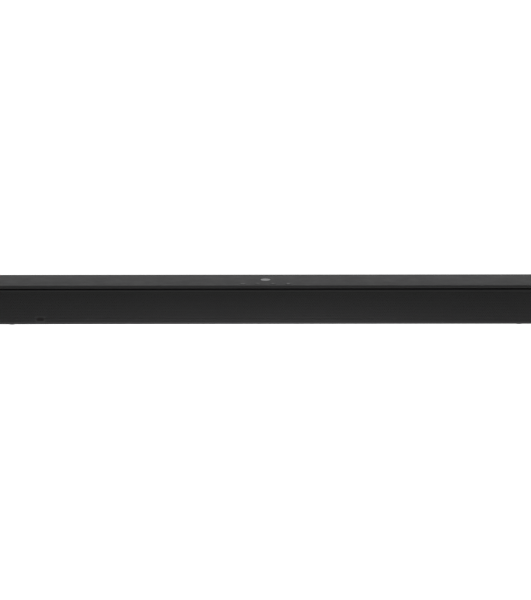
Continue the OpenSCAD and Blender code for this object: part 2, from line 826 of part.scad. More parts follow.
module at_inlet_pins() {
    for (side = [-1, 1]) translate([inlet_x + side * 4.3, 0, inlet_z]) children();
}

// Two round pins that run through the inlet to their solder ends
module inlet_pins() {
    color([0.75, 0.7, 0.55]) at_inlet_pins() {
        rod_y(0, mouth_y - 21, 0, 1.2, 18.5);
        translate([0, mouth_y - 2.5, 0]) rotate([-90, 0, 0]) cylinder(r1 = 1.2, r2 = 0.7, h = 0.6);
    }
}

// ---------- leads and fixings ----------

// Round wire through a list of points, with a ball at each bend
module wire(points) {
    for (i = [0:len(points) - 2]) {
        step = points[i + 1] - points[i];
        length = norm(step);
        translate(points[i]) rotate([0, acos(step[2] / length), atan2(step[1], step[0])])
            cylinder(r = lead_r, h = length);
        if (i > 0) translate(points[i]) sphere(r = lead_r);
    }
}

// One lead: from the main board, down to the floor, along the bar and up to a driver
module speaker_lead(x, k, terminal_y, terminal_z) {
    side = sign(x);
    y = lead_ys[k];
    rise_y = terminal_y + 4.5;
    wire([
        [side * 84, y, board_top + 3.5], [side * 90, y, board_top + 3.5],
        [side * 90, y, lead_z], [x, y, lead_z], [x, rise_y, lead_z],
        [x, rise_y, terminal_z], [x, terminal_y, terminal_z],
    ]);
}

module speaker_leads() {
    color([0.5, 0.05, 0.05]) for (side = [-1, 1]) {
        speaker_lead(side * tweeter_x, 0, baffle_y + 12, driver_z - 16);
        speaker_lead(side * inner_woofer_x, 1, baffle_y - plate_top, driver_z - 20.5);
        speaker_lead(side * outer_woofer_x, 2, baffle_y - plate_top, driver_z - 20.5);
    }
}

// Pan-head screw whose head stands on z = 0 and whose thread points up
module screw(r, head, length) {
    rotate_extrude()
        polygon([[0, -2.2], [head - 0.5, -2.2], [head, -1.7], [head, 0], [r, 0], [r, length], [0, length]]);
}

module cabinet_screws() {
    color([0.2, 0.2, 0.2]) {
        at_pillars() translate([0, 0, floor_z + 27]) screw(screw_r, head_r, 22);
        for (side = [-1, 1], z = cap_screw_zs)
            translate([side * (side_x - wall), cap_screw_y, z]) rotate([0, side * 90, 0])
                screw(screw_r, head_r, 11);
        for (x = rear_screw_xs)
            translate([x, rear_y - 2.7, rear_screw_z]) rotate([90, 0, 0]) screw(screw_r, head_r, 9);
    }
}

module driver_screws() {
    head = 2.05;
    color([0.12, 0.12, 0.12]) {
        for (w = WOOFERS) on_baffle(w[1]) bolt_circle(4, woofer_screw_r)
            translate([0, 0, gasket_t + 1.5]) mirror([0, 0, 1]) screw(screw_r, head, 7);
        for (t = TWEETERS) on_baffle(t[1]) bolt_circle(4, tweeter_screw_r)
            translate([0, 0, gasket_t + 1.8]) mirror([0, 0, 1]) screw(screw_r, 1.85, 7);
    }
}

module board_screws() {
    color([0.7, 0.7, 0.7]) {
        for (board_x = [main_board_x, power_board_x])
            at_standoffs(board_x) translate([0, 0, board_top]) mirror([0, 0, 1])
                screw(small_screw_r, small_head_r, 8);
        at_button_posts() translate([0, 0, button_board_top - board_t]) screw(small_screw_r, small_head_r, 6);
    }
}

// Threaded brass inserts for a wall bracket, flush with the back
module wall_inserts() {
    color([0.7, 0.55, 0.25]) for (side = [-1, 1])
        translate([side * insert_spacing / 2, rear_y, driver_z]) rotate([90, 0, 0]) difference() {
            union() {
                cylinder(r = 3.45, h = 3.5);
                cylinder(r = 3.1, h = 8.8);
                translate([0, 0, 5]) cylinder(r = 3.45, h = 3.8);
            }
            translate([0, 0, -cut]) cylinder(r = insert_bore_r, h = 12);
        }
}

// ---------- assembly ----------

inner_frame();
bottom_panel();
rear_panel();
top_cover();
front_baffle();
front_grille();
grille_scrim();
left_end_cap();
right_end_cap();
rubber_feet();
badge();
button_board();
tact_switches();
indicator_lens();
indicator_board();
for (b = BUTTONS) button(b[1]);
for (w = WOOFERS) {
    on_baffle(w[1]) woofer_basket();
    on_baffle(w[1]) woofer_motor();
    on_baffle(w[1]) woofer_suspension();
    on_baffle(w[1]) woofer_cone();
}
for (t = TWEETERS) {
    on_baffle(t[1]) tweeter_faceplate();
    on_baffle(t[1]) tweeter_motor();
    on_baffle(t[1]) tweeter_dome();
}
driver_gaskets();
main_board();
heatsink();
wireless_module();
power_board();
power_transformer();
filter_capacitors();
power_inlet();
inlet_pins();
hdmi_socket();
usb_socket();
aux_jack();
optical_socket();
optical_shutter();
speaker_leads();
cabinet_screws();
driver_screws();
board_screws();
wall_inserts();
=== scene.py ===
"""Soundbar: meshes, materials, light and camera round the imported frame. All lengths are metres."""
import json
import math

import bmesh
import bpy
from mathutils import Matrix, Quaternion, Vector


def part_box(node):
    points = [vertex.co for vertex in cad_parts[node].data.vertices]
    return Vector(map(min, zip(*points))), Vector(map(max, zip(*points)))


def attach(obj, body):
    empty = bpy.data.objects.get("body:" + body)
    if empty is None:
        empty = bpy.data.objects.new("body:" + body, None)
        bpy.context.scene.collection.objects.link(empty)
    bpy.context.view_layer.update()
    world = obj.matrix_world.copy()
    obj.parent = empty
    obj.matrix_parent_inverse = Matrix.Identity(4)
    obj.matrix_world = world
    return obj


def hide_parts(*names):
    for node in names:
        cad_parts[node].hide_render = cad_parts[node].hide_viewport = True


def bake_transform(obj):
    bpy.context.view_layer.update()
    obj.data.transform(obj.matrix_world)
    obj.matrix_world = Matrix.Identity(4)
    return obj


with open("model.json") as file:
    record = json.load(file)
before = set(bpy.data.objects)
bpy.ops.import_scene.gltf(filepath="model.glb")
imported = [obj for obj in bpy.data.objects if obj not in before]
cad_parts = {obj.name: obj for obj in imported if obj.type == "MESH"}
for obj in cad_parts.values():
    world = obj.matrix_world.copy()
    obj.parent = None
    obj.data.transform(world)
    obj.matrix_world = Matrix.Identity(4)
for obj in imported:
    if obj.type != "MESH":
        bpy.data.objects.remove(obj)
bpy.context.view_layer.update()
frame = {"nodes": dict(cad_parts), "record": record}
NODES = frame["nodes"]
BAR = "cabinet"
MM = 0.001


def stand(name, data):
    """A new object in the scene."""
    made = bpy.data.objects.new(name, data)
    bpy.context.scene.collection.objects.link(made)
    return made

# ---------------------------------------------------------------- materials


class Graph:
    """One procedural material, whose textures are laid out in metres on the resting part."""

    def __init__(self, name):
        self.mat = bpy.data.materials.new(name)
        self.mat.use_nodes = True
        self.tree = self.mat.node_tree
        self.tree.nodes.clear()
        self.shader = self.add("ShaderNodeBsdfPrincipled")
        out = self.add("ShaderNodeOutputMaterial")
        self.tree.links.new(self.shader.outputs["BSDF"], out.inputs["Surface"])
        self.where = self.add("ShaderNodeTexCoord").outputs["Object"]

    def add(self, kind, **settings):
        node = self.tree.nodes.new(kind)
        for key, value in settings.items():
            setattr(node, key, value)
        return node

    def put(self, socket, value):
        if isinstance(value, bpy.types.NodeSocket):
            self.tree.links.new(value, socket)
        elif isinstance(value, (tuple, list)) and socket.type == "RGBA":
            socket.default_value = (*value, 1.0)
        else:
            socket.default_value = value

    def placed(self, size, stretch=(1, 1, 1)):
        node = self.add("ShaderNodeMapping")
        node.inputs["Scale"].default_value = [s / size for s in stretch]
        self.put(node.inputs["Vector"], self.where)
        return node.outputs["Vector"]

    def noise(self, size, detail=2.0, stretch=(1, 1, 1), rough=0.5):
        node = self.add("ShaderNodeTexNoise")
        self.put(node.inputs["Vector"], self.placed(size, stretch))
        node.inputs["Scale"].default_value = 1.0
        node.inputs["Detail"].default_value = detail
        node.inputs["Roughness"].default_value = rough
        return node.outputs["Fac"]

    def cells(self, size):
        node = self.add("ShaderNodeTexVoronoi", feature="SMOOTH_F1")
        self.put(node.inputs["Vector"], self.placed(size))
        node.inputs["Scale"].default_value = 1.0
        return node.outputs["Distance"]

    def wave(self, size, axis, kind="BANDS", wobble=0.0):
        node = self.add("ShaderNodeTexWave", wave_type=kind)
        setattr(node, "bands_direction" if kind == "BANDS" else "rings_direction", axis)
        # the wave texture repeats every 2 pi / 20 of its own unit
        self.put(node.inputs["Vector"], self.placed(size * 20 / (2 * math.pi)))
        node.inputs["Scale"].default_value = 1.0
        node.inputs["Distortion"].default_value = wobble
        return node.outputs["Fac"]

    def spread(self, value, low, high, to_low=0.0, to_high=1.0):
        node = self.add("ShaderNodeMapRange")
        keys = ("Value", "From Min", "From Max", "To Min", "To Max")
        for key, x in zip(keys, (value, low, high, to_low, to_high)):
            self.put(node.inputs[key], x)
        return node.outputs["Result"]

    def math(self, operation, a, b=0.0):
        node = self.add("ShaderNodeMath", operation=operation)
        self.put(node.inputs[0], a)
        self.put(node.inputs[1], b)
        return node.outputs[0]

    def mix(self, fac, a, b):
        node = self.add("ShaderNodeMix", data_type="RGBA")
        self.put(node.inputs[0], fac)
        self.put(node.inputs[6], a)
        self.put(node.inputs[7], b)
        return node.outputs[2]

    def axis(self, letter):
        node = self.add("ShaderNodeSeparateXYZ")
        self.put(node.inputs[0], self.where)
        return node.outputs[letter]

    def edge(self, radius):
        """1 where the surface bends sharply within radius, 0 on open faces."""
        bevel = self.add("ShaderNodeBevel", samples=4)
        bevel.inputs["Radius"].default_value = radius
        true = self.add("ShaderNodeNewGeometry")
        dot = self.add("ShaderNodeVectorMath", operation="DOT_PRODUCT")
        self.put(dot.inputs[0], bevel.outputs["Normal"])
        self.put(dot.inputs[1], true.outputs["Normal"])
        return self.spread(dot.outputs["Value"], 0.995, 0.88)

    def bump(self, height, depth, under=None):
        node = self.add("ShaderNodeBump")
        node.inputs["Strength"].default_value = 1.0
        node.inputs["Distance"].default_value = depth
        self.put(node.inputs["Height"], height)
        if under is not None:
            self.put(node.inputs["Normal"], under)
        return node.outputs["Normal"]

    def done(self, colour, rough, normal=None, metal=0.0, specular=0.5, **more):
        s = self.shader.inputs
        self.put(s["Base Color"], colour)
        self.put(s["Roughness"], rough)
        s["Metallic"].default_value = metal
        s["Specular IOR Level"].default_value = specular
        if normal is not None:
            self.put(s["Normal"], normal)
        for key, value in more.items():
            self.put(s[key.replace("_", " ")], value)
        return self.mat


def times(colour, k):
    return tuple(c * k for c in colour)


def moulded(name, colour, rough=0.5, grain=0.45 * MM, depth=0.012 * MM, specular=0.3, wear=0.35):
    """Moulded plastic: spark texture, slow colour drift, handling marks and rubbed edges."""
    g = Graph(name)
    drift = g.noise(0.085, 3.0)
    speck = g.noise(grain * 1.6, 1.0)
    base = g.mix(drift, times(colour, 0.9), times(colour, 1.1))
    base = g.mix(g.spread(speck, 0.35, 0.75, 0.0, 0.3), base, times(colour, 1.35))
    rubbed = g.math("MULTIPLY", g.edge(0.5 * MM), g.spread(g.noise(0.006, 3.0), 0.42, 0.7, 0.0, wear))
    base = g.mix(rubbed, base, times(colour, 2.4))
    handled = g.spread(g.noise(0.03, 4.0, rough=0.6), 0.35, 0.7, rough - 0.04, rough + 0.06)
    return g.done(base, g.math("SUBTRACT", handled, g.math("MULTIPLY", rubbed, 0.12)),
                  g.bump(speck, depth, g.bump(g.cells(grain), depth)), specular=specular)


def coated(name, colour, rough=0.4):
    """Powder-coated steel: orange peel under a fine grain."""
    g = Graph(name)
    peel = g.noise(1.1 * MM, 2.0)
    fine = g.noise(0.25 * MM, 1.0)
    base = g.mix(g.noise(0.06, 3.0), times(colour, 0.88), times(colour, 1.12))
    base = g.mix(g.spread(fine, 0.45, 0.75, 0.0, 0.35), base, times(colour, 1.5))
    return g.done(base, g.spread(peel, 0.3, 0.7, rough - 0.05, rough + 0.07),
                  g.bump(fine, 0.006 * MM, g.bump(peel, 0.02 * MM)), specular=0.18)


def cloth(name, colour, thread=0.5 * MM, rough=0.95, sheen=0.25):
    """Plain weave of two crossing thread systems with uneven yarns."""
    g = Graph(name)
    warp = g.wave(thread, "X", wobble=0.6)
    weft = g.wave(thread, "Z", wobble=0.6)
    weave = g.math("MAXIMUM", warp, weft)
    base = g.mix(weave, times(colour, 0.45), times(colour, 1.4))
    base = g.mix(g.spread(g.noise(0.004, 3.0, (1, 1, 6)), 0.3, 0.7, 0.0, 0.4), base, times(colour, 1.8))
    return g.done(base, g.spread(g.noise(0.01), 0.3, 0.7, rough - 0.05, rough), g.bump(weave, 0.08 * MM),
                  specular=0.15, Sheen_Weight=sheen, Sheen_Roughness=0.5)


def rubbery(name, colour, rough=0.75, grain=0.3 * MM):
    """Moulded rubber: dusty bloom over a very fine grain."""
    g = Graph(name)
    bloom = g.spread(g.noise(0.004, 5.0, rough=0.65), 0.45, 0.75)
    base = g.mix(g.math("MULTIPLY", bloom, 0.35), colour, times(colour, 2.2))
    fine = g.noise(grain, 2.0)
    dull = g.spread(bloom, 0.0, 1.0, rough, min(1.0, rough + 0.15))
    return g.done(base, dull, g.bump(fine, 0.012 * MM), specular=0.3)


def metallic(name, colour, rough=0.3, brush=(1, 1, 1), scratch=0.35 * MM):
    """Bare or plated metal with fine scratches along the stretched direction and dull patches."""
    g = Graph(name)
    lines = g.noise(scratch, 3.0, brush)
    patch = g.noise(0.012, 4.0)
    base = g.mix(patch, times(colour, 0.92), times(colour, 1.04))
    base = g.mix(g.spread(lines, 0.35, 0.7, 0.0, 0.25), base, times(colour, 0.7))
    worn = g.spread(patch, 0.3, 0.7, rough - 0.06, rough + 0.12)
    return g.done(base, worn, g.bump(lines, 0.004 * MM), metal=1.0)


PACKAGE = (0.012, 0.012, 0.013)


def circuit(name, resist, board_top):
    """Solder resist with tracks and pads under board_top, black packages above it."""
    g = Graph(name)
    tracks = g.math("MAXIMUM", g.spread(g.wave(1.6 * MM, "X", wobble=3.0), 0.86, 0.93),
                    g.spread(g.wave(2.1 * MM, "Y", wobble=3.0), 0.9, 0.95))
    base = g.mix(g.math("MULTIPLY", tracks, 0.5), resist, times(resist, 2.2))
    pads = g.spread(g.cells(3.2 * MM), 0.16, 0.12)
    base = g.mix(g.math("MULTIPLY", pads, 0.7), base, (0.55, 0.53, 0.48))
    above = g.spread(g.axis("Z"), board_top + 0.02 * MM, board_top + 0.06 * MM)
    base = g.mix(above, base, g.mix(g.noise(0.002), PACKAGE, times(PACKAGE, 2)))
    return g.done(base, g.spread(above, 0, 1, 0.32, 0.6), g.bump(tracks, 0.02 * MM), specular=0.5)


COVER = (0.0205, 0.0205, 0.021)
BODY = (0.016, 0.016, 0.0165)
PAINT = (0.0163, 0.0163, 0.0166)
main_board_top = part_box("hdmi_socket")[0].z

LOOK = {
    "cabinet": moulded("black_moulding", BODY, 0.55, grain=0.6 * MM),
    "cover": moulded("cover_moulding", COVER, 0.46, grain=0.38 * MM, depth=0.008 * MM, specular=0.22),
    "end_cap": moulded("cap_moulding", BODY, 0.5),
    "baffle": moulded("baffle_moulding", (0.02, 0.02, 0.02), 0.6, grain=0.8 * MM, wear=0.2),
    "grille": coated("powder_coat", PAINT),
    "scrim": cloth("acoustic_cloth", (0.005, 0.005, 0.005)),
    "foot": rubbery("black_rubber", (0.014, 0.014, 0.014)),
    "button": moulded("button_moulding", times(COVER, 1.05), 0.42, grain=0.3 * MM, depth=0.006 * MM,
                      specular=0.22),
    "circuit_board": circuit("green_board", (0.01, 0.06, 0.022), main_board_top),
    "power_circuit_board": circuit("tan_board", (0.2, 0.11, 0.03), main_board_top),
    "switch": moulded("switch_moulding", (0.03, 0.03, 0.03), 0.5, grain=0.2 * MM),
    "basket": moulded("glass_filled_moulding", (0.018, 0.018, 0.018), 0.62, grain=0.7 * MM, depth=0.02 * MM),
    "motor": metallic("zinc_plate", (0.5, 0.5, 0.49), 0.36),
    "suspension": rubbery("surround_rubber", (0.012, 0.012, 0.012), 0.6),
    "gasket": rubbery("cell_foam", (0.012, 0.012, 0.012), 0.95, grain=0.7 * MM),
    "heatsink": metallic("extruded_aluminium", (0.62, 0.62, 0.64), 0.32, brush=(1, 0.03, 1)),
    "shield_can": metallic("tinned_can", (0.66, 0.66, 0.65), 0.28),
    "socket_plastic": moulded("socket_moulding", (0.014, 0.014, 0.014), 0.42, grain=0.25 * MM),
    "socket_metal": metallic("nickel_shell", (0.62, 0.6, 0.57), 0.26, brush=(1, 0.1, 1)),
    "pin": metallic("plated_pin", (0.66, 0.6, 0.47), 0.2, brush=(1, 0.05, 1)),
    "shutter": moulded("shutter_moulding", (0.02, 0.02, 0.02), 0.4, grain=0.25 * MM),
    "lead": rubbery("wire_insulation", (0.25, 0.012, 0.01), 0.45),
    "black_screw": metallic("black_oxide", (0.045, 0.044, 0.045), 0.38, scratch=0.6 * MM),
    "zinc_screw": metallic("zinc_screw", (0.6, 0.6, 0.6), 0.3, scratch=0.6 * MM),
    "brass": metallic("turned_brass", (0.78, 0.56, 0.25), 0.28, brush=(1, 8, 1)),
}


def lens_look():
    g = Graph("smoked_lens")
    base = g.mix(g.noise(0.004, 3.0), (0.005, 0.0042, 0.0042), (0.009, 0.0075, 0.0075))
    rough = g.spread(g.noise(0.002, 4.0), 0.4, 0.7, 0.3, 0.38)
    return g.done(base, rough, g.bump(g.noise(0.003), 0.004 * MM), specular=0.1)


def paper_cone_look():
    g = Graph("coated_paper")
    fibre = g.noise(0.7 * MM, 5.0, (1, 1, 1), 0.7)
    base = g.mix(fibre, (0.03, 0.03, 0.031), (0.065, 0.065, 0.067))
    return g.done(base, g.spread(fibre, 0.3, 0.7, 0.55, 0.8), g.bump(fibre, 0.05 * MM), specular=0.3)


def silk_dome_look():
    return cloth("doped_silk", (0.03, 0.03, 0.032), 0.35 * MM, rough=0.6, sheen=0.1)


def transformer_look():
    """Yellow tape round the bobbin, dark ferrite on the outer frame."""
    g = Graph("ferrite_and_tape")
    low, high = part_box("power_transformer")
    mid_y = (low.y + high.y) / 2
    off = g.math("ABSOLUTE", g.math("SUBTRACT", g.axis("Y"), mid_y))
    tape = g.spread(off, 9.1 * MM, 9.3 * MM)
    wrap = g.mix(g.spread(g.wave(5 * MM, "X"), 0.9, 0.97), (0.62, 0.4, 0.03), (0.4, 0.24, 0.02))
    iron = g.mix(g.noise(0.8 * MM, 4.0), (0.03, 0.03, 0.032), (0.06, 0.06, 0.063))
    return g.done(g.mix(tape, iron, wrap), g.spread(tape, 0, 1, 0.6, 0.3),
                  g.bump(g.noise(0.4 * MM), 0.02 * MM))


TALL_CAN, SHORT_CAN = 21.9 * MM, 13.9 * MM


def capacitor_look():
    """Dark sleeves with bare aluminium tops: tall cans on the power board, short ones on the main board."""
    g = Graph("sleeved_can")
    tall, short = main_board_top + TALL_CAN, main_board_top + SHORT_CAN
    z = g.axis("Z")
    x = g.axis("X")
    on_main = g.spread(x, -20 * MM, -10 * MM)
    top = g.mix(on_main, g.spread(z, tall - 0.1 * MM, tall), g.spread(z, short - 0.1 * MM, short))
    sleeve = g.mix(g.noise(0.01), (0.012, 0.014, 0.035), (0.02, 0.022, 0.05))
    return g.done(g.mix(top, sleeve, (0.6, 0.6, 0.6)), 0.3, g.bump(g.noise(0.5 * MM), 0.008 * MM))


LOOK |= {"lens": lens_look(), "cone": paper_cone_look(), "dome": silk_dome_look(),
         "transformer": transformer_look(), "capacitor": capacitor_look()}


def disc_look(centre):
    """Turned and satin-anodised face: very fine rings about the disc's own middle."""
    g = Graph("turned_disc")
    node = g.add("ShaderNodeMapping")
    node.inputs["Location"].default_value = [-c for c in centre]
    g.put(node.inputs["Vector"], g.where)
    g.where = node.outputs["Vector"]
    rings = g.wave(0.22 * MM, "Z", "RINGS", wobble=0.4)
    base = g.mix(g.noise(0.003, 3.0), (0.70, 0.70, 0.71), (0.78, 0.78, 0.785))
    base = g.mix(g.math("MULTIPLY", rings, 0.25), base, (0.66, 0.66, 0.665))
    satin = g.spread(g.noise(0.002, 3.0), 0.3, 0.7, 0.4, 0.5)
    return g.done(base, satin, g.bump(rings, 0.006 * MM), metal=1.0)


def print_look():
    g = Graph("pale_print")
    base = g.mix(g.noise(0.3 * MM, 3.0), (0.17, 0.17, 0.172), (0.23, 0.23, 0.232))
    matt = g.spread(g.noise(0.6 * MM), 0.3, 0.7, 0.55, 0.7)
    return g.done(base, matt, g.bump(g.noise(0.12 * MM), 0.003 * MM), specular=0.3)


slot_of = {row["node"]: row["material_slot"] for row in frame["record"]["subparts"]}
LOOK["badge"] = disc_look((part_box("badge")[0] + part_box("badge")[1]) / 2)
for node, obj in NODES.items():
    if not obj.material_slots:
        obj.data.materials.append(None)
    for holder in obj.material_slots:
        holder.material = LOOK[slot_of[node]]

# ---------------------------------------------------------------- mesh tools


def piece(name, points, faces, look, slot, body=BAR, sharp=30, looks=(), which=None):
    """A new mesh piece: points and faces in the row frame, smooth except at edges over sharp degrees."""
    mesh = bpy.data.meshes.new(name)
    mesh.from_pydata([tuple(p) for p in points], [], faces)
    mesh.update()
    for material in (look, *looks):
        mesh.materials.append(material)
    if which is not None:
        mesh.polygons.foreach_set("material_index", which)
    mesh.polygons.foreach_set("use_smooth", [True] * len(mesh.polygons))
    mesh.set_sharp_from_angle(angle=math.radians(sharp))
    obj = stand(name, mesh)
    if body:
        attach(obj, body)
    return obj


class Solid:
    """Gathers closed surfaces into one list of points and faces."""

    def __init__(self):
        self.points, self.faces = [], []

    def add(self, points, faces):
        base = len(self.points)
        self.points += [tuple(p) for p in points]
        self.faces += [[base + i for i in f] for f in faces]

    def loft(self, loops):
        """A skin over loops of equal count, closed at both ends."""
        n = len(loops[0])
        points = [p for loop in loops for p in loop]
        faces = []
        for k in range(len(loops) - 1):
            a, b = k * n, (k + 1) * n
            faces += [[a + i, a + (i + 1) % n, b + (i + 1) % n, b + i] for i in range(n)]
        last = (len(loops) - 1) * n
        faces += [list(range(n))[::-1], [last + i for i in range(n)]]
        self.add(points, faces)

    def turned(self, centre, profile, axis="z", segments=96):
        """A closed lathe solid: profile is (radius, height), from one flat end to the other."""
        cx, cy, cz = centre
        loops = []
        for r, h in profile:
            loop = []
            for i in range(segments):
                a = 2 * math.pi * i / segments
                c, s = r * math.cos(a), r * math.sin(a)
                loop.append((cx + c, cy + s, cz + h) if axis == "z" else (cx + c, cy + h, cz - s))
            loops.append(loop)
        self.loft(loops)

    def prism(self, outline, low, high):
        """An upright closed prism over an outline of (x, y) points, counter-clockwise."""
        self.loft([[(x, y, low) for x, y in outline], [(x, y, high) for x, y in outline]])


def outward(solid):
    """Faces of every closed island made to point outward."""
    mesh = bpy.data.meshes.new("scratch")
    mesh.from_pydata(solid.points, [], solid.faces)
    work = bmesh.new()
    work.from_mesh(mesh)
    bmesh.ops.recalc_face_normals(work, faces=work.faces)
    points = [tuple(v.co) for v in work.verts]
    faces = [[v.index for v in f.verts] for f in work.faces]
    work.free()
    bpy.data.meshes.remove(mesh)
    return points, faces


def quarter(steps):
    """Angles from 0 to 90 degrees."""
    return [math.radians(90 * k / steps) for k in range(steps + 1)]


def solid_piece(name, solid, *rest, **more):
    points, faces = outward(solid)
    return piece(name, points, faces, *rest, **more)


# ---------------------------------------------------------------- grille

CROWN_R, ROLL_R = 240 * MM, 2.5 * MM
SHEET = 1.4 * MM
PIT = 1.05 * MM                          # depth of a hole, whose floor is the cloth
PITCH, ROW = 2.8 * MM, 2.42 * MM
HOLE_R = 1.02 * MM
ROWS = 20
COARSE = 13                              # half pitches between the columns of the plain surfaces
FLANGE_ENDS = {1: -36 * MM, -1: -38 * MM}    # y where the upper and lower flange end
LENS, LENS_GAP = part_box("indicator_lens"), 0.2 * MM
PEG_R, PEG_BACK = 1.5 * MM, -30.8 * MM
PEG_XS = [x * MM for x in (-440, -276, -200, -100, 0, 100, 200, 276, 440)]


def grille():
    """Crowned sheet with blind hexagonal holes, rolled edges, and an oval window for the indicator."""
    low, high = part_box("front_grille")
    front, z0, z1 = low.y, low.z, high.z
    half_len = high.x
    mid = (front + CROWN_R, (z0 + z1) / 2)
    half = math.asin(((z1 - z0) / 2 - ROLL_R) / (CROWN_R - ROLL_R))
    cols = int((2 * half_len - 9 * MM) / PITCH)
    x0 = -cols * PITCH / 2

    def crown(s, d=0.0):
        """Point of the crown at arc length s from its middle line, d below the face."""
        a = s / CROWN_R
        return mid[0] - (CROWN_R - d) * math.cos(a), mid[1] + (CROWN_R - d) * math.sin(a)

    def rolled(side, angle, d):
        """Point of the rolled edge on the upper (1) or lower (-1) side, d below the face."""
        cy = mid[0] - (CROWN_R - ROLL_R) * math.cos(half)
        cz = mid[1] + side * (CROWN_R - ROLL_R) * math.sin(half)
        return cy - (ROLL_R - d) * math.cos(angle), cz + side * (ROLL_R - d) * math.sin(angle)

    def edge(side, d, steps=8):
        """Section from the crown's end round the rolled edge to the flange's end."""
        arc = [rolled(side, half + (math.pi / 2 - half) * i / steps, d) for i in range(steps + 1)]
        return arc + [(FLANGE_ENDS[side], (z1 - d) if side > 0 else (z0 + d))]

    lines = [(i - ROWS / 2) * ROW for i in range(ROWS + 1)]
    points, faces, kinds = [], [], []

    def vert(x, yz):
        points.append((x, *yz))
        return len(points) - 1

    def face(ids, kind=0):
        faces.append(ids)
        kinds.append(kind)

    def strip_of(upper, lower, flip=False):
        """Quads between two lines of points."""
        for c in range(len(upper) - 1):
            quad = [upper[c], upper[c + 1], lower[c + 1], lower[c]]
            face(quad[::-1] if flip else quad)

    # the block of cells round the indicator window
    lens_x, lens_z = (LENS[0].x + LENS[1].x) / 2, (LENS[0].z + LENS[1].z) / 2
    lens_s = math.asin((lens_z - mid[1]) / CROWN_R) * CROWN_R
    w = (LENS[1].x - LENS[0].x) / 2 + LENS_GAP
    h = (LENS[1].z - LENS[0].z) / 2 + LENS_GAP
    j0 = 2 * math.floor((lens_x - w - x0) / PITCH)
    j1 = 2 * math.ceil((lens_x + w - x0) / PITCH)
    i_mid = round(lens_s / ROW + ROWS / 2)
    i0, i1 = i_mid - 2, i_mid + 2

    fine = [[vert(x0 + j * PITCH / 2, crown(s)) for j in range(2 * cols + 1)] for s in lines]
    coarse = sorted(set(range(0, 2 * cols + 1, COARSE)) | {2 * cols} | set(range(j0, j1 + 1)))
    coarse_x = [-half_len] + [x0 + j * PITCH / 2 for j in coarse] + [half_len]
    ends = [[vert(x, crown(s)) for s in lines] for x in (-half_len, half_len)]

    def hole(x, s, rim):
        """One blind hole and the sheet round it, out to the six points of its cell."""
        ring = [(x + HOLE_R * math.cos(a), s + HOLE_R * math.sin(a))
                for a in (math.radians(210 + 60 * k) for k in range(6))]
        top = [vert(hx, crown(hs)) for hx, hs in ring]
        low_ring = [vert(hx, crown(hs, PIT)) for hx, hs in ring]
        for k in range(6):
            n = (k + 1) % 6
            face([rim[k], rim[n], top[n], top[k]])
            face([top[k], top[n], low_ring[n], low_ring[k]])
        face(low_ring, 1)

    for i in range(ROWS):
        a, b = fine[i], fine[i + 1]
        s = (lines[i] + lines[i + 1]) / 2
        blocked = i0 <= i < i1
        spans = [(0, j0), (j1, 2 * cols)] if blocked else [(0, 2 * cols)]
        for start, stop in spans:
            shift = i % 2
            if shift:
                face([a[start], a[start + 1], b[start + 1], b[start]])
                face([a[stop - 1], a[stop], b[stop], b[stop - 1]])
            for j in range(start + shift, stop - 1, 2):
                cell = [a[j], a[j + 1], a[j + 2], b[j + 2], b[j + 1], b[j]]
                hole(x0 + (j + 1) * PITCH / 2, s, cell)
        face([ends[0][i], a[0], b[0], ends[0][i + 1]])
        face([a[-1], ends[1][i], ends[1][i + 1], b[-1]])

    # rolled edges and flanges on the outside, then the whole inside
    outer = {}
    for side in (1, -1):
        outer[side] = [[vert(x, yz) for x in coarse_x] for yz in edge(side, 0.0)]
    inner_path = edge(-1, SHEET)[::-1] + [crown(s, SHEET) for s in lines] + edge(1, SHEET)
    inner = [[vert(x, yz) for x in coarse_x] for yz in inner_path]
    turn = len(edge(-1, SHEET))
    for side in (1, -1):
        line = fine[-1] if side > 0 else fine[0]
        end = -1 if side > 0 else 0
        near = outer[side][0]
        for c in range(len(coarse) - 1):
            strip = line[coarse[c]:coarse[c + 1] + 1]
            if side > 0:
                face(strip + [near[c + 2], near[c + 1]])
            else:
                face(strip[::-1] + [near[c + 1], near[c + 2]])
        for quad in ([ends[0][end], line[0], near[1], near[0]], [line[-1], ends[1][end], near[-1], near[-2]]):
            face(quad if side > 0 else quad[::-1])
        for k in range(len(outer[side]) - 1):
            strip_of(outer[side][k], outer[side][k + 1], side < 0)
        strip_of(outer[side][-1], inner[-1] if side > 0 else inner[0], side < 0)
    lens_cols = [coarse.index(j) + 1 for j in range(j0, j1 + 1)]
    for k in range(len(inner) - 1):
        for c in range(len(coarse_x) - 1):
            if i0 <= k - turn < i1 and lens_cols[0] <= c < lens_cols[-1]:
                continue
            face([inner[k][c], inner[k + 1][c], inner[k + 1][c + 1], inner[k][c + 1]])
    # both ends of the sheet
    for e, c in ((0, 0), (1, -1)):
        out = [outer[-1][k][c] for k in range(len(outer[-1]) - 1, -1, -1)]
        out += ends[e] + [outer[1][k][c] for k in range(len(outer[1]))]
        ins = [row[c] for row in inner]
        strip_of(out, ins, e == 1)
    # oval window: the same loop of rim points outside and inside
    rim = [(i0, j) for j in range(j0, j1)] + [(i, j1) for i in range(i0, i1)]
    rim += [(i1, j) for j in range(j1, j0, -1)] + [(i, j0) for i in range(i1, i0, -1)]

    def oval(dx, ds):
        """Where the ray from the window's middle leaves an oval of half sizes w and h."""
        size = math.hypot(dx, ds)
        ux, us = dx / size, ds / size
        flat = w - h
        if abs(us) > 1e-9 and abs(ux / us) * h <= flat:
            return ux / abs(us) * h, math.copysign(h, us)
        along = flat * abs(ux) + math.sqrt(max(0.0, h * h - (flat * us) ** 2))
        return along * ux, along * us

